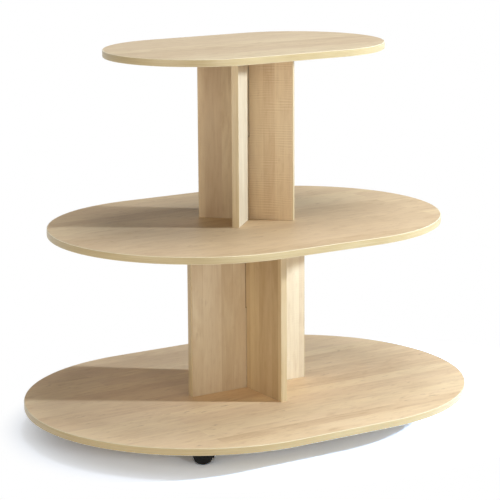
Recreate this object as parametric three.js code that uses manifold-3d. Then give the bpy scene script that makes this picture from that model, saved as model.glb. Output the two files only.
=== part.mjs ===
// Tiered display table on castors: three racetrack shelves, one above the other, on two crossed-panel posts.
// Millimetres, +Z up. The origin is on the floor under the middle of the table, with the long axis along X.

import * as THREE from 'three';
import { mergeVertices } from 'three/addons/utils/BufferGeometryUtils.js';
import Module from 'manifold-3d';

// Board and edging
const boardThickness = 18;
const bandThickness = 2;

// Shelves: a straight run between two half circles, so the length is the depth plus the straight run
const bottomShelfLength = 1200;
const bottomShelfDepth = 920;
const middleShelfLength = 1060;
const middleShelfDepth = 780;
const topShelfLength = 760;
const topShelfDepth = 480;
const shelfArcSegments = 24;

// Posts: two panels halved into each other, so that each post is a plus sign in plan
const lowerPostWidth = 350;
const lowerPostHeight = 432;
const lowerPostTurn = 0;
const upperPostWidth = 250;
const upperPostHeight = 432;
const upperPostTurn = -45;
const slotClearance = 0.75;

// Connecting screws, up through a shelf into each arm of the post that stands on it
const screwInset = 60;
const screwLength = 68;
const screwShankRadius = 3.5;
const screwHeadRadius = 5.5;
const screwHeadHeight = 4;
const screwTipHeight = 5;
const screwClearance = 0.3;
const screwSegments = 10;

// Angle brackets, under a shelf and against the top of each arm of the post that carries it
const bracketLeg = 25;
const bracketWidth = 20;
const bracketThickness = 2;
const bracketHoleRadius = 2.4;
const bracketHoleSegments = 8;
const bracketInset = 45;
const bracketSeatGap = 0.3;

// Castors: a twin-wheel swivel castor near each corner of the bottom shelf
const castorEndInset = 312;
const castorSideInset = 182;
const castorTurn = 155;
const castorTrail = 18;
const runningClearance = 0.3;

// Castor wheels and axle
const wheelRadius = 25;
const wheelWidth = 17;
const wheelShoulder = 2.5;
const wheelRimWidth = 5;
const wheelFaceRecess = 1.6;
const wheelHubRadius = 8;
const wheelBoreDepth = 12;
const wheelSegments = 32;
const axleRadius = 4;
const axleEndClearance = 0.5;
const axleSegments = 12;

// Castor hood: a web between the wheels, a fender over them and a boss for the kingpin
const webThickness = 12.4;
const webRadius = 18;
const wheelSideClearance = 0.8;
const wellClearance = 1.2;
const hoodWall = 1.8;
const hoodTilt = 20;
const hoodSegments = 24;
const bossRadius = 10;
const bossRise = 2.5;
const bossDepth = 20;
const bossSegments = 20;

// Kingpin and mounting plate
const kingpinRadius = 4;
const kingpinFlangeRadius = 8;
const kingpinFlangeThickness = 2.9;
const kingpinDepth = 19;
const kingpinSegments = 12;
const plateSide = 42;
const plateThickness = 3;
const plateCornerRadius = 4;
const plateCornerSegments = 2;
const plateHoleInset = 5;
const plateHoleRadius = 2.4;
const plateHoleSegments = 8;

// How far a cutting solid runs past the face that it opens
const cutOverrun = 1;

// Heights above the floor
const hoodRadius = wheelRadius + wellClearance + hoodWall;
const bossTop = wheelRadius + hoodRadius + bossRise;
const flangeBottom = bossTop + runningClearance;
const flangeTop = flangeBottom + kingpinFlangeThickness;
const plateBottom = flangeTop + runningClearance;
const plateTop = plateBottom + plateThickness;
const bottomShelfTop = plateTop + boardThickness;
const lowerPostTop = bottomShelfTop + lowerPostHeight;
const middleShelfTop = lowerPostTop + boardThickness;
const upperPostTop = middleShelfTop + upperPostHeight;

// Sizes across the castor
const wheelInnerFace = webThickness / 2 + wheelSideClearance;
const castorHalfWidth = wheelInnerFace + wheelWidth;

const mapleFace = { color: 0xd2b48c, roughness: 0.5, metalness: 0 };
const mapleEdging = { color: 0xd9bf83, roughness: 0.45, metalness: 0 };
const zincSteel = { color: 0xb4b6b8, roughness: 0.35, metalness: 1 };
const brightSteel = { color: 0xc4c6c8, roughness: 0.25, metalness: 1 };
const blackNylon = { color: 0x141414, roughness: 0.5, metalness: 0 };
const blackTread = { color: 0x1c1c1d, roughness: 0.7, metalness: 0 };

const wasm = await Module();
wasm.setup();

// Joining and cutting

function solidOf(geometry) {
  const bare = geometry.clone();
  bare.deleteAttribute('normal');
  bare.deleteAttribute('uv');
  const merged = mergeVertices(bare);
  const vertProperties = merged.attributes.position.array;
  const triVerts = new Uint32Array(merged.index.array);
  return new wasm.Manifold(new wasm.Mesh({ numProp: 3, vertProperties, triVerts }));
}

function geometryOf(solid) {
  const { vertProperties, triVerts } = solid.getMesh();
  const shared = new THREE.BufferGeometry();
  shared.setAttribute('position', new THREE.BufferAttribute(vertProperties, 3));
  shared.setIndex(new THREE.BufferAttribute(triVerts, 1));
  const geometry = shared.toNonIndexed();
  geometry.computeVertexNormals();
  return geometry;
}

function join(...geometries) {
  return geometryOf(geometries.map(solidOf).reduce((whole, piece) => whole.add(piece)));
}

function cut(geometry, tools) {
  return geometryOf(tools.map(solidOf).reduce((whole, tool) => whole.subtract(tool), solidOf(geometry)));
}

function namedMesh(name, geometry, finish) {
  const mesh = new THREE.Mesh(geometry, new THREE.MeshStandardMaterial(finish));
  mesh.name = name;
  return mesh;
}

// Basic solids

// A box between two corners.
function boxBetween(low, high) {
  const size = high.map((value, axis) => value - low[axis]);
  const middle = high.map((value, axis) => (value + low[axis]) / 2);
  return new THREE.BoxGeometry(...size).translate(...middle);
}

// A cylinder along Z between two heights.
function uprightCylinder(radius, bottom, top, segments) {
  const height = top - bottom;
  return new THREE.CylinderGeometry(radius, radius, height, segments)
    .rotateX(Math.PI / 2)
    .translate(0, 0, (top + bottom) / 2);
}

// A solid of revolution about Z from [radius, height] pairs that run from the axis back to the axis.
function uprightLathe(profile, segments) {
  const points = profile.map(([radius, height]) => new THREE.Vector2(radius, height));
  return new THREE.LatheGeometry(points, segments).rotateX(Math.PI / 2);
}

// A flat outline raised from a height by a thickness.
function raised(shape, bottom, thickness, curveSegments) {
  const settings = { depth: thickness, bevelEnabled: false, curveSegments };
  return new THREE.ExtrudeGeometry(shape, settings).translate(0, 0, bottom);
}

// Shelves

// Draws the racetrack outline, drawn in by an inset, into a shape or a hole.
function drawRacetrack(path, length, depth, inset) {
  const radius = depth / 2 - inset;
  const middle = (length - depth) / 2;
  path.moveTo(-middle, -radius);
  path.lineTo(middle, -radius);
  path.absarc(middle, 0, radius, -Math.PI / 2, Math.PI / 2, false);
  path.lineTo(-middle, radius);
  path.absarc(-middle, 0, radius, Math.PI / 2, (3 * Math.PI) / 2, false);
  return path;
}

// A faced board with its edge band glued round it. screwHoles are the cutters for the screws through it.
function makeShelf(name, length, depth, bottom, screwHoles) {
  const boardOutline = drawRacetrack(new THREE.Shape(), length, depth, bandThickness);
  const bandOutline = drawRacetrack(new THREE.Shape(), length, depth, 0);
  bandOutline.holes.push(drawRacetrack(new THREE.Path(), length, depth, bandThickness));
  const board = raised(boardOutline, bottom, boardThickness, shelfArcSegments);
  const band = raised(bandOutline, bottom, boardThickness, shelfArcSegments);
  const shelf = new THREE.Group();
  shelf.add(namedMesh(`${name}_shelf_board`, cut(board, screwHoles), mapleFace));
  shelf.add(namedMesh(`${name}_shelf_edge_band`, band, mapleEdging));
  return shelf;
}

// Connecting screws

// A countersunk screw standing on its head at a height; grow widens it all round to make its own hole.
function screwSolid(bottom, grow) {
  const shank = screwShankRadius + grow;
  const top = bottom + screwLength + grow;
  return uprightLathe(
    [
      [0, bottom],
      [screwHeadRadius + grow, bottom],
      [shank, bottom + screwHeadHeight + grow],
      [shank, top - screwTipHeight],
      [0, top],
    ],
    screwSegments,
  );
}

// The four screw places of a post, one on each arm, in the post's own turned frame.
function armPlaces(width, inset) {
  const reach = width / 2 - inset;
  return [
    { arm: 'right', x: reach, y: 0 },
    { arm: 'rear', x: 0, y: reach },
    { arm: 'left', x: -reach, y: 0 },
    { arm: 'front', x: 0, y: -reach },
  ];
}

// Cutters for a post's screws, in the post's own frame, or in the table's when turned.
function screwCutters(width, shelfBottom, turn) {
  const angle = THREE.MathUtils.degToRad(turn);
  return armPlaces(width, screwInset).map(({ x, y }) =>
    screwSolid(shelfBottom, screwClearance).translate(x, y, 0).rotateZ(angle),
  );
}

// Posts

// An angle bracket in the corner between a wall on its -Y side and a ceiling above, with a hole in each leg.
function bracketSolid(ceiling) {
  const side = bracketWidth / 2;
  const wallLeg = boxBetween([-side, 0, ceiling - bracketLeg], [side, bracketThickness, ceiling]);
  const shelfLeg = boxBetween([-side, 0, ceiling - bracketThickness], [side, bracketLeg, ceiling]);
  const holeReach = (bracketLeg + bracketThickness) / 2;
  const drillEnd = bracketThickness + cutOverrun;
  const drill = uprightCylinder(bracketHoleRadius, -cutOverrun, drillEnd, bracketHoleSegments);
  const shelfHole = drill.clone().translate(0, holeReach, ceiling - bracketThickness);
  const wallHole = drill.clone().rotateX(-Math.PI / 2).translate(0, 0, ceiling - holeReach);
  return cut(join(wallLeg, shelfLeg), [shelfHole, wallHole]);
}

// Brackets sit on the rear face of the under panel and on the left face of the over panel.
function addBrackets(post, name, width, ceiling) {
  const seat = boardThickness / 2 + bracketSeatGap;
  for (const { arm, x, y } of armPlaces(width, bracketInset)) {
    const onOverPanel = x === 0;
    const bracket = namedMesh(`${name}_bracket_${arm}`, bracketSolid(ceiling), zincSteel);
    bracket.rotation.z = onOverPanel ? Math.PI / 2 : 0;
    bracket.position.set(onOverPanel ? -seat : x, onOverPanel ? y : seat, 0);
    post.add(bracket);
  }
}

// The under panel stands along X and is slotted from its top edge.
// The over panel stands along Y, is slotted from its bottom edge and slides down over the under panel.
function makePost(name, width, height, bottom, turn) {
  const post = new THREE.Group();
  post.rotation.z = THREE.MathUtils.degToRad(turn);
  const top = bottom + height;
  const half = width / 2;
  const boardEnd = half - bandThickness;
  const face = boardThickness / 2;
  const slot = face + slotClearance;
  const slotSide = face + cutOverrun;
  const slotEnd = bottom + height / 2;
  const pilotHoles = screwCutters(width, bottom - boardThickness, 0);

  const underPanel = boxBetween([-boardEnd, -face, bottom], [boardEnd, face, top]);
  const underSlot = boxBetween(
    [-slot, -slotSide, slotEnd - slotClearance],
    [slot, slotSide, top + cutOverrun],
  );
  post.add(namedMesh(`${name}_under_panel`, cut(underPanel, [underSlot, ...pilotHoles]), mapleFace));

  const overPanel = boxBetween([-face, -boardEnd, bottom], [face, boardEnd, top]);
  const overSlot = boxBetween(
    [-slotSide, -slot, bottom - cutOverrun],
    [slotSide, slot, slotEnd + slotClearance],
  );
  post.add(namedMesh(`${name}_over_panel`, cut(overPanel, [overSlot, ...pilotHoles]), mapleFace));

  const armEnds = {
    right: boxBetween([boardEnd, -face, bottom], [half, face, top]),
    rear: boxBetween([-face, boardEnd, bottom], [face, half, top]),
    left: boxBetween([-half, -face, bottom], [-boardEnd, face, top]),
    front: boxBetween([-face, -half, bottom], [face, -boardEnd, top]),
  };
  for (const [arm, band] of Object.entries(armEnds)) {
    post.add(namedMesh(`${name}_edge_band_${arm}`, band, mapleEdging));
  }

  for (const { arm, x, y } of armPlaces(width, screwInset)) {
    const screw = namedMesh(`${name}_screw_${arm}`, screwSolid(bottom - boardThickness, 0), zincSteel);
    screw.position.set(x, y, 0);
    post.add(screw);
  }
  addBrackets(post, name, width, top);
  return post;
}

// Castors, each in its own frame: the kingpin on the Z axis and the wheels trailing towards +X

// A cylinder along Y about the axle, between two distances from the middle of the castor.
function axleCylinder(radius, from, to, segments) {
  return new THREE.CylinderGeometry(radius, radius, to - from, segments)
    .translate(castorTrail, (to + from) / 2, wheelRadius);
}

function plateSolid() {
  const half = plateSide / 2;
  const corner = half - plateCornerRadius;
  const outline = new THREE.Shape();
  outline.absarc(corner, corner, plateCornerRadius, 0, Math.PI / 2, false);
  outline.absarc(-corner, corner, plateCornerRadius, Math.PI / 2, Math.PI, false);
  outline.absarc(-corner, -corner, plateCornerRadius, Math.PI, (3 * Math.PI) / 2, false);
  outline.absarc(corner, -corner, plateCornerRadius, (3 * Math.PI) / 2, 2 * Math.PI, false);
  const plate = raised(outline, plateBottom, plateThickness, plateCornerSegments);
  const low = plateBottom - cutOverrun;
  const high = plateTop + cutOverrun;
  const holes = [uprightCylinder(kingpinRadius + runningClearance, low, high, kingpinSegments)];
  const holeReach = half - plateHoleInset;
  for (const x of [-holeReach, holeReach]) {
    for (const y of [-holeReach, holeReach]) {
      holes.push(uprightCylinder(plateHoleRadius, low, high, plateHoleSegments).translate(x, y, 0));
    }
  }
  return cut(plate, holes);
}

// The pin is riveted into the plate, and its flange takes the load from the hood's boss.
function kingpinSolid() {
  return uprightLathe(
    [
      [0, bossTop - kingpinDepth],
      [kingpinRadius, bossTop - kingpinDepth],
      [kingpinRadius, flangeBottom],
      [kingpinFlangeRadius, flangeBottom],
      [kingpinFlangeRadius, flangeTop],
      [kingpinRadius, flangeTop],
      [kingpinRadius, plateTop - runningClearance],
      [0, plateTop - runningClearance],
    ],
    kingpinSegments,
  );
}

// The fender is a half drum about the axle, tipped down towards the kingpin.
function fenderSolid() {
  const outline = new THREE.Shape();
  const tilt = THREE.MathUtils.degToRad(hoodTilt);
  outline.absarc(0, 0, hoodRadius, tilt, tilt + Math.PI, false);
  return raised(outline, -castorHalfWidth, 2 * castorHalfWidth, hoodSegments / 4)
    .rotateX(Math.PI / 2)
    .translate(castorTrail, 0, wheelRadius);
}

function hoodSolid() {
  const web = axleCylinder(webRadius, -webThickness / 2, webThickness / 2, hoodSegments);
  const boss = uprightCylinder(bossRadius, bossTop - bossDepth, bossTop, bossSegments);
  const wellRadius = wheelRadius + wellClearance;
  const wellEnd = castorHalfWidth + cutOverrun;
  const boreRadius = kingpinRadius + runningClearance;
  const boreBottom = bossTop - kingpinDepth - runningClearance;
  return cut(join(web, fenderSolid(), boss), [
    axleCylinder(wellRadius, webThickness / 2, wellEnd, hoodSegments),
    axleCylinder(wellRadius, -wellEnd, -webThickness / 2, hoodSegments),
    axleCylinder(axleRadius + runningClearance, -webThickness, webThickness, axleSegments),
    uprightCylinder(boreRadius, boreBottom, bossTop + cutOverrun, kingpinSegments),
  ]);
}

function axleSolid() {
  const reach = wheelInnerFace + wheelBoreDepth - axleEndClearance;
  return axleCylinder(axleRadius, -reach, reach, axleSegments);
}

// A wheel about Y with its inner face at zero, a blind bore for the axle and a dished outer face.
function wheelSolid() {
  const bore = axleRadius + runningClearance;
  const rim = wheelRadius - wheelRimWidth;
  const dish = wheelWidth - wheelFaceRecess;
  const profile = [
    [0, wheelBoreDepth],
    [bore, wheelBoreDepth],
    [bore, 0],
    [wheelRadius - wheelShoulder, 0],
    [wheelRadius, wheelShoulder],
    [wheelRadius, wheelWidth - wheelShoulder],
    [wheelRadius - wheelShoulder, wheelWidth],
    [rim, wheelWidth],
    [rim - wheelFaceRecess, dish],
    [wheelHubRadius + wheelFaceRecess, dish],
    [wheelHubRadius, wheelWidth],
    [0, wheelWidth],
  ];
  return new THREE.LatheGeometry(profile.map(([radius, y]) => new THREE.Vector2(radius, y)), wheelSegments);
}

function makeCastor(name, x, y) {
  const castor = new THREE.Group();
  castor.position.set(x, y, 0);
  castor.add(namedMesh(`${name}_castor_plate`, plateSolid(), zincSteel));
  castor.add(namedMesh(`${name}_castor_kingpin`, kingpinSolid(), brightSteel));

  const swivel = new THREE.Group();
  swivel.rotation.z = THREE.MathUtils.degToRad(castorTurn);
  swivel.add(namedMesh(`${name}_castor_hood`, hoodSolid(), blackNylon));
  swivel.add(namedMesh(`${name}_castor_axle`, axleSolid(), brightSteel));
  const wheelPlaces = [
    ['left', wheelInnerFace, 0],
    ['right', -wheelInnerFace, Math.PI],
  ];
  for (const [side, innerFace, facing] of wheelPlaces) {
    const wheel = namedMesh(`${name}_castor_${side}_wheel`, wheelSolid(), blackTread);
    wheel.position.set(castorTrail, innerFace, wheelRadius);
    wheel.rotation.z = facing;
    swivel.add(wheel);
  }
  castor.add(swivel);
  return castor;
}

// The whole table

const bottomShelfHoles = screwCutters(lowerPostWidth, plateTop, lowerPostTurn);
const middleShelfHoles = screwCutters(upperPostWidth, lowerPostTop, upperPostTurn);

const castorX = bottomShelfLength / 2 - castorEndInset;
const castorY = bottomShelfDepth / 2 - castorSideInset;

const table = new THREE.Group();
table.add(makeCastor('front_left', -castorX, -castorY));
table.add(makeCastor('front_right', castorX, -castorY));
table.add(makeCastor('rear_left', -castorX, castorY));
table.add(makeCastor('rear_right', castorX, castorY));
table.add(makeShelf('bottom', bottomShelfLength, bottomShelfDepth, plateTop, bottomShelfHoles));
table.add(makePost('lower_post', lowerPostWidth, lowerPostHeight, bottomShelfTop, lowerPostTurn));
table.add(makeShelf('middle', middleShelfLength, middleShelfDepth, lowerPostTop, middleShelfHoles));
table.add(makePost('upper_post', upperPostWidth, upperPostHeight, middleShelfTop, upperPostTurn));
table.add(makeShelf('top', topShelfLength, topShelfDepth, upperPostTop, []));

export default table;
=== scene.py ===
import math

import bmesh
import bpy
from mathutils import Matrix, Vector


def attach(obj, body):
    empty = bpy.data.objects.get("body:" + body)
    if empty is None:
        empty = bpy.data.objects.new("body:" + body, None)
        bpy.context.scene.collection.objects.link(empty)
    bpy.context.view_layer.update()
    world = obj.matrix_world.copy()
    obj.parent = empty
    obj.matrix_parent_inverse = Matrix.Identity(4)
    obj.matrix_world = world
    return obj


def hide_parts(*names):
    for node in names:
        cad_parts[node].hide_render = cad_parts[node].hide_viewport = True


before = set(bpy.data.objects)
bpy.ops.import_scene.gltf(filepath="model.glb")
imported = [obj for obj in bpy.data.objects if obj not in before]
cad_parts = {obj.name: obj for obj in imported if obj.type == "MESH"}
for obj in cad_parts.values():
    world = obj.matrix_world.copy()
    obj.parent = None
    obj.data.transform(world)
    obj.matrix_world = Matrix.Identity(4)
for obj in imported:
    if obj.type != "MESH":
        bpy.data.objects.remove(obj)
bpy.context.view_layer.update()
scene = bpy.context.scene
scene.view_settings.view_transform = "Standard"
mm = 0.001


# shader wiring

class Wire:
    def __init__(self, tree, socket=None):
        self.tree = tree
        self.socket = socket

    def node(self, kind, settings=None, sockets=None, out=0):
        made = self.tree.nodes.new(kind)
        for key, value in (settings or {}).items():
            setattr(made, key, value)
        for key, value in (sockets or {}).items():
            if isinstance(value, Wire):
                self.tree.links.new(value.socket, made.inputs[key])
            else:
                made.inputs[key].default_value = value
        return Wire(self.tree, made.outputs[out] if len(made.outputs) else None)

    def maths(self, operation, first, second=0.0):
        return self.node("ShaderNodeMath", {"operation": operation}, {0: first, 1: second})

    def __add__(self, other):
        return self.maths("ADD", self, other)

    def __radd__(self, other):
        return self.maths("ADD", other, self)

    def __sub__(self, other):
        return self.maths("SUBTRACT", self, other)

    def __rsub__(self, other):
        return self.maths("SUBTRACT", other, self)

    def __mul__(self, other):
        return self.maths("MULTIPLY", self, other)

    def __rmul__(self, other):
        return self.maths("MULTIPLY", other, self)

    def wave(self):
        return self.maths("SINE", self)

    def unsigned(self):
        return self.maths("ABSOLUTE", self)

    def between(self, low, high):  # 0 below low, 1 above high, smooth in between
        settings = {"interpolation_type": "SMOOTHSTEP"}
        return self.node("ShaderNodeMapRange", settings, {"Value": self, "From Min": low, "From Max": high})

    def grey(self):  # a colour as one value
        return self.node("ShaderNodeRGBToBW", None, {"Color": self})

    def point(self, x, y, z):
        return self.node("ShaderNodeCombineXYZ", None, {0: x, 1: y, 2: z})

    def along(self, direction):  # how far a place lies along a direction
        settings = {"operation": "DOT_PRODUCT"}
        return self.node("ShaderNodeVectorMath", settings, {0: self, 1: direction}, "Value")

    def stretched(self, scale):
        return self.node("ShaderNodeVectorMath", {"operation": "MULTIPLY"}, {0: self, 1: scale})

    def mottle(self, scale, detail, rough=0.5):  # soft noise, with its own scale on each axis
        sockets = {"Vector": self.stretched(scale), "Scale": 1.0, "Detail": detail, "Roughness": rough}
        return self.node("ShaderNodeTexNoise", None, sockets)

    def blend(self, first, second):  # this value slides one colour into another
        return self.node("ShaderNodeMix", {"data_type": "RGBA"}, {0: self, 6: first, 7: second}, 2)

    def bump(self, strength, distance):
        return self.node("ShaderNodeBump", None, {"Strength": strength, "Distance": distance, "Height": self})


def tint(red, green, blue):  # a colour as a paint chart gives it, 0 to 255
    parts = [value / 255 for value in (red, green, blue)]
    return tuple(p / 12.92 if p <= 0.04045 else ((p + 0.055) / 1.055) ** 2.4 for p in parts) + (1.0,)


palest = 0.95


def toned(colour, toneAndLight):  # a sheet's or a band's own shade of a colour, with painted light in it: the tone also makes a whole sheet paler or darker, cooler or warmer
    return tuple(min(palest, part * share) for part, share in zip(colour, toneAndLight)) + (1.0,)


def startFinish(name):
    finish = bpy.data.materials.new(name)
    finish.use_nodes = True
    finish.node_tree.nodes.clear()
    return finish, Wire(finish.node_tree)


def closeFinish(wire, sockets):
    shader = wire.node("ShaderNodeBsdfPrincipled", None, sockets)
    wire.node("ShaderNodeOutputMaterial", None, {"Surface": shader})


# maple decor: strips side by side, fibres along the grain, flecks, flames and a soft figure
# a noise is its scale on each axis (here along the grain, across it and through), its detail and roughness
# an In pair is where a mask starts and where it is full

mapleLook = {
    "dark": tint(192, 162, 124),
    "light": tint(232, 211, 175),
    "pink": tint(218, 191, 160),
    "fleck": tint(160, 122, 84),
    "core": tint(104, 76, 46),
    "chip": tint(158, 124, 80),
    "stripLength": 2.6,
    "stripStagger": 0.37,
    "swayNoise": ((1, 14, 5), 0.0),
    "sway": 0.05,  # how far the strips' edges wander
    "slip": 3.7,  # how far the grain jumps from strip to strip
    "middle": 0.56,
    "cloudNoise": ((5.5, 14, 9), 3.0),
    "cloud": 0.8,
    "streakNoise": ((8, 80, 50), 3.0, 0.6),
    "streak": 0.55,
    "fibreNoise": ((16, 430, 270), 2.0, 0.6),
    "fibre": 0.52,
    "figureNoise": ((2.0, 11, 7), 1.0, 0.4),
    "figureRings": 70,
    "figureIn": (0.42, 0.62),
    "figure": 0.08,
    "slant": (0.6, 0.16),  # flames and flecks lie at an angle to the grain
    "flameNoise": ((22, 60, 26), 3.0, 0.6),
    "flameIn": (0.5, 0.72),
    "flameMean": 0.2,
    "fleckNoise": ((20, 74, 40), 2.0, 0.6),
    "fleckIn": (0.62, 0.77),
    "fleckCloudIn": (0.36, 0.56),
    "wobbleNoise": ((24, 5, 5), 2.0),
    "wobble": 18,
    "curlNoise": ((34, 16, 8), 2.0),
    "curlIn": (0.4, 0.64),
    "ripples": 980,
    "rippleSideIn": (-0.06, 0.03),  # ripples run over one half of a sheet
    "shadeIn": (-0.1, 1.1),
    "blushTurns": 3.9,
    "pinkShare": 0.42,
    "faceIn": (0.3, 0.8),
    "chipNoise": ((260, 420, 420), 2.0, 0.6),
    "chipIn": (0.35, 0.65),
    "roughness": 0.5,
    "streakRoughness": 0.16,
    "fibreRoughness": 0.1,
    "fleckDepth": 0.6,
    "relief": (0.04, 0.4 * mm),
    "specular": 0.1,
}


def mapleDecor(name, grain, across, sheet):
    look = mapleLook
    startLength, startWidth, startDepth = sheet["start"]
    finish, wire = startFinish(name)
    place = wire.node("ShaderNodeTexCoord", out="Object")
    through = Vector(grain).cross(Vector(across))
    length = place.along(grain) + startLength
    width = place.along(across) + startWidth
    depth = place.along(through) + startDepth
    level = wire.point(length, width, depth)

    sway = wire.point(startLength, width, depth).mottle(*look["swayNoise"])
    bricks = {
        "Vector": wire.point(length, width + look["sway"] * sway, 0.0),
        "Color1": (0, 0, 0, 1),
        "Color2": (1, 1, 1, 1),
        "Mortar": (0.5, 0.5, 0.5, 1),
        "Scale": 1.0,
        "Mortar Size": 0.0,
        "Bias": 0.0,
        "Brick Width": look["stripLength"],
        "Row Height": sheet["strips"],
    }
    stagger = {"offset": look["stripStagger"], "offset_frequency": 2}
    strip = wire.node("ShaderNodeTexBrick", stagger, bricks).grey()

    flow = wire.point(length + look["slip"] * strip, width, depth)
    cloud = flow.mottle(*look["cloudNoise"])
    streak = flow.mottle(*look["streakNoise"])
    fibre = flow.mottle(*look["fibreNoise"])
    field = flow.mottle(*look["figureNoise"])
    figure = (field * look["figureRings"]).wave() * field.between(*look["figureIn"])

    leanAlong, leanAcross = look["slant"]
    slanted = wire.point(length + leanAlong * width, width - leanAcross * length, depth)
    flame = slanted.mottle(*look["flameNoise"]).between(*look["flameIn"])
    flecks = slanted.mottle(*look["fleckNoise"]).between(*look["fleckIn"])
    flecks = flecks * cloud.between(*look["fleckCloudIn"])

    wobble = level.mottle(*look["wobbleNoise"])
    curl = level.mottle(*look["curlNoise"]).between(*look["curlIn"])
    ripples = (length * look["ripples"] + look["wobble"] * wobble).wave() * curl
    ripples = ripples * (width - startWidth).between(*look["rippleSideIn"])

    shade = look["middle"] + sheet["contrast"] * (strip - 0.5) + look["cloud"] * (cloud - 0.5)
    shade = shade + look["streak"] * (streak - 0.5)
    shade = shade + look["fibre"] * (fibre - 0.5) + look["figure"] * figure
    shade = shade + sheet["ripple"] * ripples - sheet["flame"] * (flame - look["flameMean"])
    dark, light, pink = (toned(look[key], sheet["toneAndLight"]) for key in ("dark", "light", "pink"))
    face = shade.between(*look["shadeIn"]).blend(dark, light)
    blush = (strip * look["blushTurns"]).wave() * 0.5 + 0.5
    face = (look["pinkShare"] * blush).blend(face, pink)
    face = (sheet["fleck"] * flecks).blend(face, look["fleck"])

    facing = wire.node("ShaderNodeTexCoord", out="Normal").along(through).unsigned()
    sawn = 1.0 - facing.between(*look["faceIn"])  # cut edges show the chips of the core
    chips = level.mottle(*look["chipNoise"]).between(*look["chipIn"])
    face = sawn.blend(face, chips.blend(look["core"], look["chip"]))

    roughness = look["roughness"] + look["streakRoughness"] * (streak - 0.5)
    closeFinish(wire, {
        "Base Color": face,
        "Roughness": roughness + look["fibreRoughness"] * (fibre - 0.5),
        "Normal": (fibre - look["fleckDepth"] * flecks).bump(*look["relief"]),
        "Specular IOR Level": look["specular"],
    })
    return finish


# edging: a thin band, yellower than the faces, with fine streaks along it and a painted highlight where it
# faces up or down

edgingLook = {
    "dark": tint(196, 172, 124),
    "light": tint(217, 199, 154),
    "line": tint(178, 148, 98),
    # the colour of the painted highlight
    "highlightColour": tint(240, 228, 196),
    "streakDetail": (2.0, 0.6),
    "streak": 1.1,
    "cloudNoise": ((5, 5, 7), 2.0),
    "cloud": 0.7,
    "lineFiner": 1.7,  # times as fine as the streaks
    "lineDetail": 1.0,
    "lineIn": (0.62, 0.8),
    "lineShare": 0.35,
    # where the painted highlight starts and where it is full, by how far the surface faces up or down
    "highlightIn": (0.12, 0.6),
    "roughness": 0.36,
    "streakRoughness": 0.2,
    "relief": (0.05, 0.3 * mm),
    "specular": 0.5,
}
# fine is the scale of the streaks on each axis; each band's colours are scaled to its own shade, with painted
# light in it
# the last number is how strongly the painted highlight shows; the arms have none
shelfBand = {"fine": (7, 7, 620), "toneAndLight": (0.93, 0.92, 0.93), "highlightShare": 0.8}
armBand = {"fine": (500, 500, 7), "toneAndLight": (0.97, 0.96, 1.06), "highlightShare": 0.0}


def edgingFinish(name, band):
    look = edgingLook
    finish, wire = startFinish(name)
    place = wire.node("ShaderNodeTexCoord", out="Object")
    streak = place.mottle(band["fine"], *look["streakDetail"])
    cloud = place.mottle(*look["cloudNoise"])
    lineScale = [value * look["lineFiner"] for value in band["fine"]]
    lines = place.mottle(lineScale, look["lineDetail"]).between(*look["lineIn"])
    shade = (0.5 + look["streak"] * (streak - 0.5) + look["cloud"] * (cloud - 0.5)).between(0.0, 1.0)
    face = shade.blend(toned(look["dark"], band["toneAndLight"]), toned(look["light"], band["toneAndLight"]))
    face = (look["lineShare"] * lines).blend(face, look["line"])
    if band["highlightShare"]:  # painted highlight: the corners and the narrow top and bottom, which face up or down, are painted paler than the upright flat of the band
        upward = wire.node("ShaderNodeTexCoord", out="Normal").along((0, 0, 1)).unsigned()
        face = (band["highlightShare"] * upward.between(*look["highlightIn"])).blend(face, look["highlightColour"])
    closeFinish(wire, {
        "Base Color": face,
        "Roughness": look["roughness"] + look["streakRoughness"] * (streak - 0.5),
        "Normal": streak.bump(*look["relief"]),
        "Specular IOR Level": look["specular"],
    })
    return finish


# zinc plated steel: crystal flakes under a haze, fine scratches and a few rusty spots

zincLook = {
    "dull": tint(168, 171, 174),
    "bright": tint(206, 208, 208),
    "rust": tint(122, 104, 86),
    "flakeScale": 260.0,
    "flake": 0.45,
    "hazeNoise": ((60, 60, 60), 3.0),
    "haze": 0.55,
    "brightIn": (0.1, 0.9),
    "scratchNoise": ((900, 90, 700), 1.0),
    "scratchIn": (0.66, 0.8),
    "spotNoise": ((170, 170, 170), 3.0, 0.6),
    "spotIn": (0.68, 0.8),
    "rustShare": 0.35,
    "metalLost": 0.3,
    "roughness": 0.3,
    "hazeRoughness": 0.14,
    "scratchRoughness": 0.12,
    "spotRoughness": 0.2,
    "flakeDepth": 0.4,
    "relief": (0.05, 0.1 * mm),
}


def zincFinish():
    look = zincLook
    finish, wire = startFinish("zinc plated steel")
    place = wire.node("ShaderNodeTexCoord", out="Object")
    cells = {"Vector": place, "Scale": look["flakeScale"]}
    flake = wire.node("ShaderNodeTexVoronoi", None, cells, "Color").grey()
    haze = place.mottle(*look["hazeNoise"])
    scratch = place.mottle(*look["scratchNoise"]).between(*look["scratchIn"])
    spots = place.mottle(*look["spotNoise"]).between(*look["spotIn"])
    shade = (look["flake"] * flake + look["haze"] * haze).between(*look["brightIn"])
    face = shade.blend(look["dull"], look["bright"])
    face = (look["rustShare"] * spots).blend(face, look["rust"])
    roughness = look["roughness"] + look["hazeRoughness"] * haze + look["scratchRoughness"] * scratch
    closeFinish(wire, {
        "Base Color": face,
        "Metallic": 1.0 - look["metalLost"] * spots,
        "Roughness": roughness + look["spotRoughness"] * spots,
        "Normal": (look["flakeDepth"] * flake + scratch).bump(*look["relief"]),
    })
    return finish


# bright steel of the pins: fine turning lines round them

steelLook = {
    "dull": tint(176, 177, 178),
    "bright": tint(214, 214, 213),
    "lineNoise": ((120, 120, 2600), 2.0),
    "line": 0.5,
    "hazeNoise": ((80, 80, 80), 3.0),
    "haze": 0.5,
    "brightIn": (0.2, 0.8),
    "roughness": 0.18,
    "hazeRoughness": 0.2,
    "relief": (0.06, 0.05 * mm),
}


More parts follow.
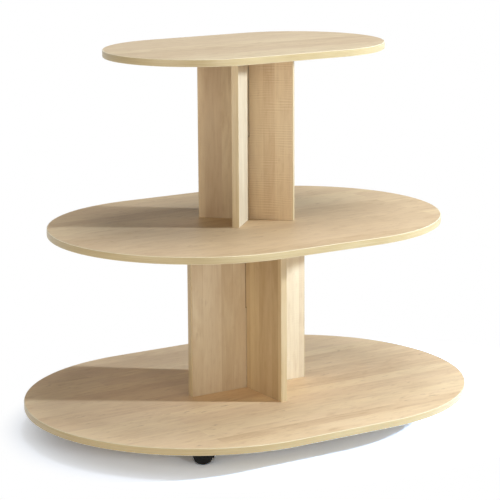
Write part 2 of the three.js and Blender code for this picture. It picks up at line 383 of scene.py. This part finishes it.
def steelFinish():
    look = steelLook
    finish, wire = startFinish("bright steel")
    place = wire.node("ShaderNodeTexCoord", out="Object")
    lines = place.mottle(*look["lineNoise"])
    haze = place.mottle(*look["hazeNoise"])
    shade = (look["line"] * lines + look["haze"] * haze).between(*look["brightIn"])
    closeFinish(wire, {
        "Base Color": shade.blend(look["dull"], look["bright"]),
        "Metallic": 1.0,
        "Roughness": look["roughness"] + look["hazeRoughness"] * haze,
        "Normal": lines.bump(*look["relief"]),
    })
    return finish


# black nylon of the hoods: a fine moulded skin with a little dust

nylonLook = {
    "black": tint(9, 9, 10),
    "grey": tint(18, 18, 19),
    "dust": tint(62, 60, 56),
    "skinNoise": ((1500, 1500, 1500), 2.0, 0.6),
    "hazeNoise": ((70, 70, 70), 3.0),
    "greyIn": (0.3, 0.7),
    "dustNoise": ((120, 120, 240), 3.0, 0.6),
    "dustIn": (0.52, 0.74),
    "dustShare": 0.14,
    "roughness": 0.4,
    "hazeRoughness": 0.16,
    "dustRoughness": 0.2,
    "relief": (0.14, 0.08 * mm),
    "specular": 0.25,
}


def nylonFinish():
    look = nylonLook
    finish, wire = startFinish("black nylon")
    place = wire.node("ShaderNodeTexCoord", out="Object")
    skin = place.mottle(*look["skinNoise"])
    haze = place.mottle(*look["hazeNoise"])
    dust = place.mottle(*look["dustNoise"]).between(*look["dustIn"])
    face = haze.between(*look["greyIn"]).blend(look["black"], look["grey"])
    face = (look["dustShare"] * dust).blend(face, look["dust"])
    closeFinish(wire, {
        "Base Color": face,
        "Roughness": look["roughness"] + look["hazeRoughness"] * haze + look["dustRoughness"] * dust,
        "Normal": skin.bump(*look["relief"]),
        "Specular IOR Level": look["specular"],
    })
    return finish


# black tread of the wheels: duller, with scuffs and dust

treadLook = {
    "black": tint(9, 9, 10),
    "scuff": tint(26, 26, 26),
    "dust": tint(66, 64, 60),
    "grainNoise": ((1100, 1100, 1100), 2.0, 0.6),
    "hazeNoise": ((90, 90, 90), 3.0),
    "hazeShare": 0.3,
    "scuffNoise": ((260, 260, 700), 2.0, 0.6),
    "scuffIn": (0.6, 0.76),
    "scuffShare": 0.5,
    "dustNoise": ((140, 140, 140), 3.0, 0.6),
    "dustIn": (0.54, 0.74),
    "dustShare": 0.16,
    "roughness": 0.56,
    "hazeRoughness": 0.16,
    "dustRoughness": 0.14,
    "relief": (0.12, 0.1 * mm),
    "specular": 0.25,
}


def treadFinish():
    look = treadLook
    finish, wire = startFinish("black tread")
    place = wire.node("ShaderNodeTexCoord", out="Object")
    grain = place.mottle(*look["grainNoise"])
    haze = place.mottle(*look["hazeNoise"])
    scuffs = place.mottle(*look["scuffNoise"]).between(*look["scuffIn"])
    dust = place.mottle(*look["dustNoise"]).between(*look["dustIn"])
    face = (look["scuffShare"] * scuffs + look["hazeShare"] * haze).blend(look["black"], look["scuff"])
    face = (look["dustShare"] * dust).blend(face, look["dust"])
    closeFinish(wire, {
        "Base Color": face,
        "Roughness": look["roughness"] + look["hazeRoughness"] * haze + look["dustRoughness"] * dust,
        "Normal": (grain + scuffs).bump(*look["relief"]),
        "Specular IOR Level": look["specular"],
    })
    return finish


zinc = zincFinish()
steel = steelFinish()
nylon = nylonFinish()
tread = treadFinish()
shelfEdging = edgingFinish("maple edging round the shelves", shelfBand)
armEdging = edgingFinish("maple edging up the arms", armBand)
print("finishes ready")


# mesh making: sizes are in millimetres, and meshOf, soften and shift turn them into metres

bevelFrom = math.radians(28)  # edges sharper than this are softened
shadeFrom = math.radians(32)  # and sharper than this are shaded as corners
mergeWithin = 1e-7  # in metres
touching = 0.01  # two places closer than this are the same
past = 1  # how far a cutter runs past what it cuts


def meshOf(points, faces):
    mesh = bpy.data.meshes.new("piece")
    mesh.from_pydata([tuple(value * mm for value in point) for point in points], [], faces)
    work = bmesh.new()
    work.from_mesh(mesh)
    bmesh.ops.remove_doubles(work, verts=work.verts, dist=mergeWithin)
    bmesh.ops.recalc_face_normals(work, faces=work.faces)
    work.to_mesh(mesh)
    work.free()
    return mesh


def upright(u, v, w):
    return (u, v, w)


def acrossY(u, v, w):  # a side view: u along X, v up, w along Y
    return (u, w, v)


def acrossX(u, v, w):  # an end view: u along Y, v up, w along X
    return (w, u, v)


def prism(outline, low, high, place=upright):
    count = len(outline)
    points = [place(u, v, low) for u, v in outline] + [place(u, v, high) for u, v in outline]
    faces = [list(range(count)), list(range(count, 2 * count))]
    for here in range(count):
        after = (here + 1) % count
        faces.append([here, after, count + after, count + here])
    return meshOf(points, faces)


def lathe(profile, segments, place=upright):  # profile is (radius, height) from the axis back to the axis
    points = []
    rings = []
    faces = []
    for radius, height in profile:
        ring = []
        for step in range(segments if radius > 0 else 1):
            angle = 2 * math.pi * step / segments
            ring.append(len(points))
            points.append(place(radius * math.cos(angle), radius * math.sin(angle), height))
        rings.append(ring)
    for lower, upper in zip(rings, rings[1:]):
        for step in range(segments):
            after = step + 1
            loop = [lower[step % len(lower)], lower[after % len(lower)]]
            loop += [upper[after % len(upper)], upper[step % len(upper)]]
            faces.append(list(dict.fromkeys(loop)))
    return meshOf(points, [face for face in faces if len(face) > 2])


def drill(radius, low, high, segments, place=upright):
    return lathe([(0, low), (radius, low), (radius, high), (0, high)], segments, place)


def arc(middle, radius, first, last, steps):  # angles in degrees
    angles = [math.radians(first + (last - first) * step / steps) for step in range(steps + 1)]
    return [(middle[0] + radius * math.cos(a), middle[1] + radius * math.sin(a)) for a in angles]


def rounded(corners, steps=5):  # corners are (u, v, radius); a radius of 0 stays sharp
    ring = []
    for index, (u, v, radius) in enumerate(corners):
        here = Vector((u, v))
        if radius == 0:
            ring.append((u, v))
            continue
        before = (Vector(corners[index - 1][:2]) - here).normalized()
        after = (Vector(corners[(index + 1) % len(corners)][:2]) - here).normalized()
        half = before.angle(after) / 2
        middle = here + (before + after).normalized() * radius / math.sin(half)
        start = here + before * radius / math.tan(half) - middle
        end = here + after * radius / math.tan(half) - middle
        first = math.degrees(math.atan2(start.y, start.x))
        turn = math.degrees(math.atan2(end.y, end.x)) - first
        turn = (turn + 180) % 360 - 180
        ring += arc(middle, radius, first, first + turn, steps)
    return ring


def soften(mesh, width, steps=2, chosen=None):  # takes the sharpness off the edges
    work = bmesh.new()
    work.from_mesh(mesh)
    sharp = [e for e in work.edges if e.is_manifold and e.calc_face_angle() > bevelFrom]
    if chosen:
        sharp = [e for e in sharp if chosen(*[corner.co / mm for corner in e.verts])]
    bmesh.ops.bevel(work, geom=sharp, offset=width * mm, segments=steps, affect="EDGES", profile=0.5)
    work.to_mesh(mesh)
    work.free()
    return mesh


def worked(base, tools, operation):  # the base with the tools cut out of it, or joined to it
    holder = bpy.data.objects.new("work", base)
    helpers = [bpy.data.objects.new("tool", tool) for tool in tools]
    for made in [holder] + helpers:
        scene.collection.objects.link(made)
    for helper in helpers:
        step = holder.modifiers.new("step", "BOOLEAN")
        step.operation = operation
        step.solver = "EXACT"
        step.object = helper
    graph = bpy.context.evaluated_depsgraph_get()
    result = bpy.data.meshes.new_from_object(holder.evaluated_get(graph))
    for made in [holder] + helpers:
        bpy.data.objects.remove(made)
    return result


def moved(mesh, matrix):
    copy = mesh.copy()
    copy.transform(matrix)
    return copy


def gathered(meshes):
    work = bmesh.new()
    for mesh in meshes:
        work.from_mesh(mesh)
    whole = bpy.data.meshes.new("gathered")
    work.to_mesh(whole)
    work.free()
    return whole


def shift(x, y, z):
    return Matrix.Translation((x * mm, y * mm, z * mm))


def turned(degrees, axis="Z"):
    return Matrix.Rotation(math.radians(degrees), 4, axis)


def addPiece(name, mesh, finish, body, slot, *nodes):
    mesh.materials.clear()
    mesh.materials.append(finish)
    mesh.shade_smooth()
    mesh.set_sharp_from_angle(angle=shadeFrom)
    piece = bpy.data.objects.new(name, mesh)
    scene.collection.objects.link(piece)
    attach(piece, body)
    if nodes:
        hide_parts(*nodes)


# shelves: the faced boards stay, and each gets its own sheet of decor and a rounded edging

board = {
    "thickness": 18,
    "edging": 2,
    "arris": 1.7,
    "flat": 1.9,  # the edging is flat from its seam out to here
    "endSteps": 96,  # round each end, twice the board's own
}
shelfFigure = {"strips": 0.05, "contrast": 0.34, "fleck": 0.45, "flame": 0.24, "ripple": 0.0}
# each sheet's tone is its own shade with painted light in it: the bottom shelf is painted paler, as if more
# light reached it
shelves = {
    "bottom": {
        "length": 1200, "depth": 920, "low": 62,
        "sheet": {"start": (0.31, 0.02, 0.0), "toneAndLight": (1.16, 1.14, 1.11), **shelfFigure},
    },
    "middle": {
        "length": 1060, "depth": 780, "low": 512,
        "sheet": {"start": (2.17, 0.55, 1.3), "toneAndLight": (1.02, 1.00, 0.95), **shelfFigure},
    },
    "top": {
        "length": 760, "depth": 480, "low": 962,
        "sheet": {"start": (4.63, 1.21, 2.6), "toneAndLight": (1.03, 1.06, 1.07), **shelfFigure},
    },
}


def edgingRing(shelf):
    steps = board["endSteps"]
    seam, flat, arris = board["edging"], board["flat"], board["arris"]
    straight = (shelf["length"] - shelf["depth"]) / 2
    outer = shelf["depth"] / 2
    low, high = shelf["low"], shelf["low"] + board["thickness"]
    section = [(seam, low), (seam, high)]
    section += rounded([(flat, high, 0), (0, high, arris), (0, low, arris), (flat, low, 0)])
    spots = []
    for end, side in ((90, 1), (270, -1)):
        for step in range(steps + 1):
            angle = math.radians(end - 180 * step / steps)
            spots.append((side * straight, angle, step % 2 == 1))
    chord = math.cos(math.pi / steps)  # the board's outline is straight between its own corners
    points = []
    for centre, angle, betweenCorners in spots:
        for inset, up in section:
            radius = outer - inset
            if betweenCorners and inset == seam:
                radius *= chord
            points.append((centre + radius * math.cos(angle), radius * math.sin(angle), up))
    faces = []
    count = len(section)
    for spot in range(len(spots)):
        here = spot * count
        after = (spot + 1) % len(spots) * count
        for edge in range(count):
            other = (edge + 1) % count
            faces.append([here + edge, here + other, after + other, after + edge])
    return meshOf(points, faces)


for shelfName, shelf in shelves.items():
    decor = mapleDecor("maple decor of the " + shelfName + " shelf", (1, 0, 0), (0, 1, 0), shelf["sheet"])
    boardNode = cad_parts[shelfName + "_shelf_board"]
    boardNode.data.materials.clear()
    boardNode.data.materials.append(decor)
    addPiece(shelfName + "_shelf_edging", edgingRing(shelf), shelfEdging, "table", "maple_edge_band",
             shelfName + "_shelf_edge_band")
print("shelves done")


# posts: two slotted panels each, edging on the arm ends, screws below and angle brackets above

# each panel's tone is its own shade with painted light in it: whole panels are painted paler or darker,
# cooler or warmer, for the light that falls on them
posts = {
    "lower_post": {
        "width": 350, "low": 80, "turn": 0,
        "under": {"start": (0.17, 0.7, 0.2), "toneAndLight": (1.08, 1.21, 1.36), "strips": 0.034,
                  "contrast": 0.7, "fleck": 0.2, "flame": 0.16, "ripple": 0.04},
        "over": {"start": (2.77, 2.07, 1.57), "toneAndLight": (0.86, 0.85, 0.76), "strips": 0.028,
                 "contrast": 1.0, "fleck": 0.2, "flame": 0.16, "ripple": 0.06},
    },
    "upper_post": {
        "width": 250, "low": 530, "turn": -45,
        "under": {"start": (2.32, 0.3, 3.1), "toneAndLight": (0.97, 0.98, 1.00), "strips": 0.036,
                  "contrast": 0.32, "fleck": 0.15, "flame": 0.14, "ripple": 0.22},
        "over": {"start": (4.92, 1.67, 4.47), "toneAndLight": (0.85, 0.94, 1.05), "strips": 0.034,
                 "contrast": 0.24, "fleck": 0.1, "flame": 0.12, "ripple": 0.04},
    },
}
arms = {"right": 0, "rear": 90, "left": 180, "front": 270}
panel = {"height": 432, "slotGap": 1.2, "arris": 0.9, "endArris": 1.1}


def panelMesh(post, slotFromTop, place):
    low, high = post["low"], post["low"] + panel["height"]
    end = post["width"] / 2 - board["edging"]
    face = board["thickness"] / 2
    slot = face + panel["slotGap"]
    middle = (low + high) / 2
    if slotFromTop:
        floor = middle - panel["slotGap"]
        outline = [(-end, low), (end, low), (end, high), (slot, high),
                   (slot, floor), (-slot, floor), (-slot, high), (-end, high)]
    else:
        floor = middle + panel["slotGap"]
        outline = [(-end, low), (-slot, low), (-slot, floor), (slot, floor),
                   (slot, low), (end, low), (end, high), (-end, high)]
    longways = 0 if place is acrossY else 1

    def inTheOpen(a, b):  # every edge but the ones that the edging covers
        awayFromEnds = min(abs(a[longways]), abs(b[longways])) < end - touching
        levelAndLong = abs(a[2] - b[2]) < touching < abs(a[longways] - b[longways])
        return awayFromEnds or levelAndLong

    return soften(prism(outline, -face, face, place), panel["arris"], chosen=inTheOpen)


connector = {
    "inset": 60,
    "length": 68,
    "head": 5.5,
    "headEdge": 0.3,
    "headDepth": 4,
    "shank": 3.5,
    "neckWaist": 0.2,  # how much thinner the neck is than the thread
    "neckTo": 21,
    "threadFrom": 22,
    "threadTo": 63,
    "threadDepth": 0.7,
    "pitch": 2.5,
    "ridges": 15,
    "ridge": (0.0, 1.0, 1.3, 2.3),  # foot, crest, crest and foot of one ridge
    "pointRadius": 0.6,
    "pointDepth": 0.4,
    "socket": 2.3,
    "socketDepth": 2.6,
    "segments": 32,
    "holeRoom": 0.3,
    "holeTip": 5,
    "holeSegments": 24,
}


def connectorHole(reach, low, place):  # the drilled hole that the screw stands in
    radius = connector["shank"] + connector["holeRoom"]
    top = low + connector["length"] + connector["holeRoom"]
    start = low + board["thickness"] - past
    profile = [(0, start), (radius, start), (radius, top - connector["holeTip"]), (0, top)]
    return moved(lathe(profile, connector["holeSegments"]), shift(*place(reach, 0, 0)))


def connectorMesh(low):
    head, edge, shank = connector["head"], connector["headEdge"], connector["shank"]
    neck = shank - connector["neckWaist"]
    root = shank - connector["threadDepth"]
    tip = low + connector["length"]
    profile = [(0, low), (head - edge, low), (head, low + edge)]
    profile += [(neck, low + connector["headDepth"]), (neck, low + connector["neckTo"])]
    for ridge in range(connector["ridges"]):
        start = low + connector["threadFrom"] + connector["pitch"] * ridge
        for radius, up in zip((root, shank, shank, root), connector["ridge"]):
            profile.append((radius, start + up))
    profile.append((root, low + connector["threadTo"]))
    profile += [(connector["pointRadius"], tip - connector["pointDepth"]), (0, tip)]
    sixSides = arc((0, 0), connector["socket"], 0, 300, 5)
    socket = prism(sixSides, low - past, low + connector["socketDepth"])
    return worked(lathe(profile, connector["segments"]), [socket], "DIFFERENCE")


bracket = {
    "inset": 45,
    "seat": 9.3,  # from the panel's middle to the back of the bracket
    "leg": 25,
    "width": 20,
    "thickness": 2,
    "innerBend": 1.2,
    "outerBend": 2.6,
    "corner": 3.5,
    "cornerSteps": 4,
    "hole": 2.4,
    "segments": 24,
    "headTurns": (20, 65),
}


def bracketMesh(ceiling):  # in the corner between a wall on its -Y side and the shelf above
    leg, thick, half = bracket["leg"], bracket["thickness"], bracket["width"] / 2
    foot = ceiling - leg
    side = rounded([(0, foot, 0), (thick, foot, 0), (thick, ceiling - thick, bracket["innerBend"]),
                    (leg, ceiling - thick, 0), (leg, ceiling, 0), (0, ceiling, bracket["outerBend"])])

    def atTheTips(a, b):  # the corners at the ends of the two legs
        throughSheet = abs(a[0] - b[0]) < touching
        return throughSheet and (min(a[1], b[1]) > leg - touching or max(a[2], b[2]) < foot + touching)

    mesh = prism(side, -half, half, acrossX)
    mesh = soften(mesh, bracket["corner"], bracket["cornerSteps"], atTheTips)
    reach = (leg + thick) / 2
    hole = (bracket["hole"], -past, thick + past, bracket["segments"])
    upHole = moved(drill(*hole), shift(0, reach, ceiling - thick))
    sideHole = moved(drill(*hole, acrossY), shift(0, 0, ceiling - reach))
    return worked(mesh, [upHole, sideHole], "DIFFERENCE")


panHead = {
    "profile": [(0, -1.8), (2, -1.8), (2, 0), (3.7, 0), (3.8, 0.2), (3.75, 0.7),
                (3.4, 1.3), (2.7, 1.75), (1.5, 2.05), (0, 2.15)],
    "segments": 28,
    "slotReach": 1.9,
    "slotHalf": 0.42,
    "slotFloor": 0.9,
    "slotTop": 3,
}


def panHeadMesh():
    reach, half = panHead["slotReach"], panHead["slotHalf"]
    slots = []
    for x, y in ((reach, half), (half, reach)):
        slots.append(prism([(-x, -y), (x, -y), (x, y), (-x, y)], panHead["slotFloor"], panHead["slotTop"]))
    return worked(lathe(panHead["profile"], panHead["segments"]), slots, "DIFFERENCE")


headMesh = panHeadMesh()
for postName, post in posts.items():
    low, high = post["low"], post["low"] + panel["height"]
    half = post["width"] / 2
    inner = half - board["edging"]
    face = board["thickness"] / 2
    stand = turned(post["turn"])
    for title, place, fromTop in (("under", acrossY, True), ("over", acrossX, False)):
        grainAcross = stand @ Vector((1, 0, 0) if fromTop else (0, 1, 0))
        name = postName + "_" + title + "_panel"
        decorName = "maple decor of the " + name.replace("_", " ")
        decor = mapleDecor(decorName, (0, 0, 1), grainAcross, post[title])
        reach = half - connector["inset"]
        holes = [connectorHole(side * reach, low - board["thickness"], place) for side in (-1, 1)]
        mesh = worked(panelMesh(post, fromTop, place), holes, "DIFFERENCE")
        addPiece(postName + "_slotted_" + title, moved(mesh, stand), decor, "table", "maple_face", name)
    screw = connectorMesh(low - board["thickness"])
    arris = panel["endArris"]
    band = rounded([(inner, -face, 0), (half, -face, arris), (half, face, arris), (inner, face, 0)])
    heads = []
    for arm, angle in arms.items():
        swing = stand @ turned(angle)
        addPiece(postName + "_edging_" + arm, moved(prism(band, low, high), swing), armEdging, "table",
                 "maple_edge_band", postName + "_edge_band_" + arm)
        spot = swing @ shift(half - connector["inset"], 0, 0)
        addPiece(postName + "_connector_" + arm, moved(screw, spot), zinc, "table", "zinc_steel",
                 postName + "_screw_" + arm)
        reach = (half - bracket["inset"]) * (1 if arm in ("right", "rear") else -1)
        if arm in ("rear", "front"):
            corner = stand @ shift(-bracket["seat"], reach, 0) @ turned(90)
        else:
            corner = stand @ shift(reach, bracket["seat"], 0)
        addPiece(postName + "_angle_" + arm, moved(bracketMesh(high), corner), zinc, "table", "zinc_steel",
                 postName + "_bracket_" + arm)
        thick = bracket["thickness"]
        drop = (bracket["leg"] + thick) / 2
        upTurn, sideTurn = bracket["headTurns"]
        upward = shift(0, drop, high - thick) @ turned(180, "X") @ turned(upTurn)
        sideways = shift(0, thick, high - drop) @ turned(-90, "X") @ turned(sideTurn)
        heads += [moved(headMesh, corner @ upward), moved(headMesh, corner @ sideways)]
    addPiece(postName + "_angle_screws", gathered(heads), zinc, "table", "zinc_steel")
print("posts done")


# castors: one set of meshes, placed four times, with the kingpin on Z and the wheels trailing towards +X

castor = {"x": 288, "y": 278, "turn": 155, "trail": 18, "radius": 25, "inner": 7, "half": 24}
axleAt = shift(castor["trail"], 0, castor["radius"])

plate = {
    "half": 21,
    "corner": 4,
    "cornerSteps": 6,
    "low": 59,
    "high": 62,
    "arris": 0.4,
    "bore": 4.3,
    "hole": 2.4,
    "reach": 16,
    "segments": 28,
}


def castorPlate():
    half, corner, reach = plate["half"], plate["corner"], plate["reach"]
    ring = [(-half, -half, corner), (half, -half, corner), (half, half, corner), (-half, half, corner)]
    mesh = soften(prism(rounded(ring, plate["cornerSteps"]), plate["low"], plate["high"]), plate["arris"])
    holes = [(0, 0, plate["bore"])]
    holes += [(x, y, plate["hole"]) for x in (-reach, reach) for y in (-reach, reach)]
    tools = []
    for x, y, radius in holes:
        tool = drill(radius, plate["low"] - past, plate["high"] + past, plate["segments"])
        tools.append(moved(tool, shift(x, y, 0)))
    return worked(mesh, tools, "DIFFERENCE")


hood = {
    "inside": 26.2,
    "outside": 28,
    "tilt": 20,
    "steps": 48,
    "arris": 0.5,
    "web": 6.2,
    "webRadius": 18,
    "webBite": 0.8,  # how far the web runs into the cover
    "webSteps": 40,
    "boss": 10,
    "bossLow": 35.5,
    "bossTop": 55.5,
    "bossEdge": ((0, 1), (0.3, 0.3), (1, 0)),  # in from the side and down from the top
    "bossSegments": 40,
    "wellRoom": 0.6,
    "wellBite": 0.2,
    "wellPast": 2,
    "wellSegments": 64,
    "bore": 4.3,
    "boreLow": 36.2,
    "axleHalf": 9,
    "boreSegments": 28,
}


def castorHood():
    centre = (castor["trail"], castor["radius"])
    half, web, steps = castor["half"], hood["web"], hood["steps"]
    first, last = hood["tilt"], hood["tilt"] + 180
    cover = arc(centre, hood["outside"], first, last, steps)
    cover += arc(centre, hood["inside"], last, first, steps)
    shell = soften(prism(cover, -half, half, acrossY), hood["arris"])
    middle = arc(centre, hood["inside"] + hood["webBite"], first, last, steps)
    middle += arc(centre, hood["webRadius"], last, first + 360, hood["webSteps"])
    wall = soften(prism(middle, -web, web, acrossY), hood["arris"])
    radius, low, high = hood["boss"], hood["bossLow"], hood["bossTop"]
    edge = [(radius - inward, high - down) for inward, down in hood["bossEdge"]]
    boss = lathe([(0, low), (radius, low), *edge, (0, high)], hood["bossSegments"])
    wells = []
    for side in (-1, 1):
        near, far = sorted((side * (web - hood["wellBite"]), side * (half + hood["wellPast"])))
        well = drill(hood["inside"] + hood["wellRoom"], near, far, hood["wellSegments"], acrossY)
        wells.append(moved(well, axleAt))
    boss = worked(boss, wells, "DIFFERENCE")
    body = worked(shell, [wall, boss], "UNION")
    bore = drill(hood["bore"], hood["boreLow"], high + past, hood["boreSegments"])
    cross = drill(hood["bore"], -hood["axleHalf"], hood["axleHalf"], hood["boreSegments"], acrossY)
    return worked(body, [bore, moved(cross, axleAt)], "DIFFERENCE")


# turned profiles, as radius and height
wheel = {
    "segments": 72,
    "profile": [
        (0, 12), (4.3, 12), (4.3, 0.5), (4.8, 0), (12.4, 0), (12.8, 0.5), (20.4, 0.5), (20.8, 0),
        *arc((22.2, 2.8), 2.8, -90, -8, 7), (25, 3.6), (25, 13.2), *arc((22.4, 14.4), 2.6, 8, 90, 7),
        (20.6, 17), (20.1, 16.85), (19.8, 16.5), (18.9, 15.7), (18.3, 15.4), (16.2, 15.4), (16.0, 15.2),
        (15.4, 15.2), (15.2, 15.4), (10.2, 15.4), (9.5, 15.6), (8.7, 16.4), (8.2, 16.8), (7.6, 17),
        (4.2, 17), (3.6, 16.6), (0, 16.5),
    ],
}
kingpin = {
    "segments": 36,
    "profile": [
        (0, 36.5), (3.5, 36.5), (4, 37), (4, 55.8), (7.6, 55.8), (8, 56.2), (8, 58.3), (7.6, 58.7),
        (4, 58.7), (4, 61.3), (3.6, 61.7), (0, 61.7),
    ],
}
axle = {
    "segments": 28,
    "profile": [(0, -18.5), (3.5, -18.5), (4, -18), (4, 18), (3.5, 18.5), (0, 18.5)],
}

plateMesh = castorPlate()
hoodMesh = castorHood()
kingpinMesh = lathe(kingpin["profile"], kingpin["segments"])
axleMesh = moved(lathe(axle["profile"], axle["segments"], acrossY), axleAt)
wheelMesh = lathe(wheel["profile"], wheel["segments"], acrossY)
wheelMeshes = {
    "left": moved(wheelMesh, axleAt @ shift(0, castor["inner"], 0)),
    "right": moved(wheelMesh, axleAt @ shift(0, -castor["inner"], 0) @ turned(180)),
}
for sideX, leftRight in ((-1, "left"), (1, "right")):
    for sideY, frontRear in ((-1, "front"), (1, "rear")):
        name = frontRear + "_" + leftRight + "_castor"
        spot = shift(sideX * castor["x"], sideY * castor["y"], 0)
        swung = spot @ turned(castor["turn"])
        addPiece(name + "_mount", moved(plateMesh, spot), zinc, "table", "zinc_steel", name + "_plate")
        addPiece(name + "_pin", moved(kingpinMesh, spot), steel, "table", "bright_steel", name + "_kingpin")
        heads = []
        for x in (-plate["reach"], plate["reach"]):
            for y in (-plate["reach"], plate["reach"]):
                driven = turned(180, "X") @ turned(x + 2 * y)  # each head stops at its own angle
                heads.append(moved(headMesh, spot @ shift(x, y, plate["low"]) @ driven))
        addPiece(name + "_mount_screws", gathered(heads), zinc, "table", "zinc_steel")
        addPiece(name + "_cowl", moved(hoodMesh, swung), nylon, name, "black_nylon", name + "_hood")
        addPiece(name + "_spindle", moved(axleMesh, swung), steel, name, "bright_steel", name + "_axle")
        for side, mesh in wheelMeshes.items():
            wheelName = name + "_" + side + "_wheel"
            addPiece(name + "_" + side + "_roller", moved(mesh, swung), tread, wheelName, "black_tread",
                     wheelName)
print("castors done")


# floor, light and camera

floorLook = {
    "half": 60.0,
    "bounce": (0.8, 0.8, 0.8, 1.0),
    "paper": (1.55, 1.83, 2.3, 1.0),  # as the camera sees it, so that it is white where nothing shades it
    "shaded": (1.42, 1.74, 2.38, 1.0),  # cooler under the table, where the wood's warm light reaches it
    "shadedTo": (0.75, 1.0),
    "spread": (1 / 0.6, 1 / 0.46, 0.0),  # the bottom shelf's half length and half depth
    "lean": (-0.27, 0.0, 0.0),  # the floor clears sooner on the left
    "clearIn": (1.12, 1.42),
}
white = (1.0, 1.0, 1.0, 1.0)


def seenDirectly(wire):  # 1 where the camera, or a shiny or clear surface, looks straight at it
    kinds = ("Is Camera Ray", "Is Glossy Ray", "Is Transmission Ray")
    camera, glossy, clear = (wire.node("ShaderNodeLightPath", out=kind) for kind in kinds)
    return wire.maths("MAXIMUM", camera, wire.maths("MAXIMUM", glossy, clear))


def addFloor():
    look = floorLook
    finish, wire = startFinish("pale studio floor")
    place = wire.node("ShaderNodeTexCoord", out="Object")
    place = wire.node("ShaderNodeVectorMath", {"operation": "MULTIPLY_ADD"},
                      {0: place, 1: look["spread"], 2: look["lean"]})
    away = wire.node("ShaderNodeVectorMath", {"operation": "LENGTH"}, {0: place}, "Value")
    seen = seenDirectly(wire)
    bounce, paper, shaded = (wire.node("ShaderNodeBsdfDiffuse", None, {"Color": look[key]})
                             for key in ("bounce", "paper", "shaded"))
    blank = wire.node("ShaderNodeEmission", None, {"Color": white, "Strength": 1.0})
    outside = away.between(*look["shadedTo"])
    paper = wire.node("ShaderNodeMixShader", None, {0: outside, 1: shaded, 2: paper})
    near = wire.node("ShaderNodeMixShader", None, {0: seen, 1: bounce, 2: paper})
    far = seen * away.between(*look["clearIn"])
    whole = wire.node("ShaderNodeMixShader", None, {0: far, 1: near, 2: blank})
    wire.node("ShaderNodeOutputMaterial", None, {"Surface": whole})
    half = look["half"]
    corners = [(-half, -half, 0), (half, -half, 0), (half, half, 0), (-half, half, 0)]
    mesh = bpy.data.meshes.new("floor")
    mesh.from_pydata(corners, [], [(0, 1, 2, 3)])
    mesh.materials.append(finish)
    floor = bpy.data.objects.new("floor", mesh)
    scene.collection.objects.link(floor)


skyStrength = 0.07


def addSky():
    sky = bpy.data.worlds.new("studio air")
    sky.use_nodes = True
    sky.node_tree.nodes.clear()
    wire = Wire(sky.node_tree)
    soft = wire.node("ShaderNodeBackground", None, {"Color": white, "Strength": skyStrength})
    blank = wire.node("ShaderNodeBackground", None, {"Color": white, "Strength": 1.0})
    both = wire.node("ShaderNodeMixShader", None, {0: seenDirectly(wire), 1: soft, 2: blank})
    wire.node("ShaderNodeOutputWorld", None, {"Surface": both})
    scene.world = sky


lamps = {
    "key": {"place": (2.56, -1.99, 1.45), "aim": (0.0, 0.0, 0.5), "size": 0.2, "watts": 120.0,
            "colour": (0.9, 1.04, 1.2), "inGloss": False},
    "overhead": {"place": (0.3, -0.4, 3.6), "aim": (0.0, 0.0, 0.4), "size": 2.0, "watts": 53.0,
                 "colour": (1.0, 1.0, 1.0), "inGloss": True},
    "fill": {"place": (-0.3, -4.4, 1.1), "aim": (0.0, 0.0, 0.45), "size": 0.6, "watts": 37.0,
             "colour": (1.0, 0.94, 0.85), "inGloss": True},
    "side": {"place": (-3.4, -1.4, 0.9), "aim": (0.0, 0.0, 0.5), "size": 2.6, "watts": 50.0,
             "colour": (1.0, 0.94, 0.85), "inGloss": True},
}


def addLamp(name, lamp):
    light = bpy.data.lights.new(name, "AREA")
    light.shape = "DISK"
    light.size = lamp["size"]
    light.energy = lamp["watts"]
    light.color = lamp["colour"]
    stand = bpy.data.objects.new(name, light)
    aim = Vector(lamp["aim"]) - Vector(lamp["place"])
    facing = aim.to_track_quat("-Z", "Y").to_matrix()
    stand.matrix_world = Matrix.Translation(lamp["place"]) @ facing.to_4x4()
    stand.visible_glossy = lamp["inGloss"]
    scene.collection.objects.link(stand)


view = {
    "lens": 145.668,
    "sensor": 36.0,
    "reach": 200.0,
    "azimuth": -32.432,
    "elevation": 12.238,
    "roll": -0.349,
    "place": (-2.744014, -4.334340, 1.558878),
}


def addCamera():
    turn, tip, roll = (math.radians(view[key]) for key in ("azimuth", "elevation", "roll"))
    ahead = Vector((-math.sin(turn) * math.cos(tip), math.cos(turn) * math.cos(tip), -math.sin(tip)))
    right = Vector((math.cos(turn), math.sin(turn), 0))
    up = right.cross(ahead)
    tiltedRight = right * math.cos(roll) + up * math.sin(roll)
    tiltedUp = up * math.cos(roll) - right * math.sin(roll)
    lens = bpy.data.cameras.new("camera")
    lens.lens = view["lens"]
    lens.sensor_width = view["sensor"]
    lens.clip_end = view["reach"]
    camera = bpy.data.objects.new("camera", lens)
    facing = Matrix((tiltedRight, tiltedUp, -ahead)).transposed()
    camera.matrix_world = Matrix.Translation(view["place"]) @ facing.to_4x4()
    scene.collection.objects.link(camera)
    scene.camera = camera


addFloor()
addSky()
for lampName, lamp in lamps.items():
    addLamp(lampName, lamp)
addCamera()
print("studio ready")
